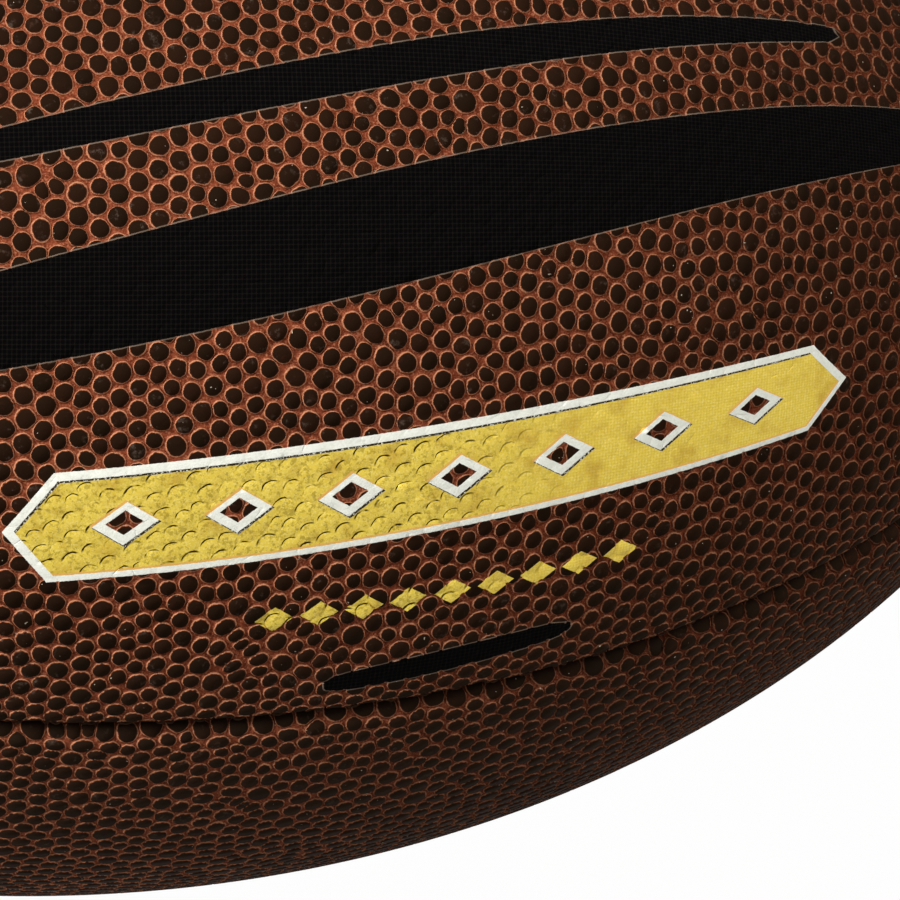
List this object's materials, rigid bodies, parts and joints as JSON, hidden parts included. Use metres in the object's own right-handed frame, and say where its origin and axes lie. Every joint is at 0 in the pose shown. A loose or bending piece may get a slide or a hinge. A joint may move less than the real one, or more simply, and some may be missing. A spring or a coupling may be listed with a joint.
{
  "type": "american football",
  "caption": "Pointed leather-grained ball with sewn panels, a lined cover, an inner bladder with an inflation valve, and a lace along one seam.",
  "frame": {"origin": "centre of the ball", "axes": "+X along the long axis from tip to tip, +Z out through the laced seam, +Y out through a side seam"},
  "size_m": [0.2848, 0.1712, 0.1745],
  "materials": {
    "cover": "pebbled composite leather, satin",
    "lining": "woven cotton laminate",
    "bladder": "smooth moulded rubber",
    "valve": "moulded rubber",
    "core": "soft rubber",
    "patch": "woven cloth",
    "facing": "split leather strip",
    "tongue": "rubberised pad",
    "lace": "coated lace with a fine grain",
    "thread": "waxed twisted thread"
  },
  "bodies": {
    "root": {"panel_top_back": "cover", "panel_top_front": "cover", "panel_bottom_front": "cover", "panel_bottom_back": "cover", "lining_top_back": "lining", "lining_top_front": "lining", "lining_bottom_front": "lining", "lining_bottom_back": "lining", "bladder": "bladder", "valve_body": "valve", "valve_core": "core", "valve_patch": "patch", "lace_facing_front": "facing", "lace_facing_back": "facing", "lace_tongue": "tongue", "lace": "lace", "seam_thread_top": "thread", "seam_thread_front": "thread", "seam_thread_bottom": "thread", "seam_thread_back": "thread"}
  },
  "joints": []
}
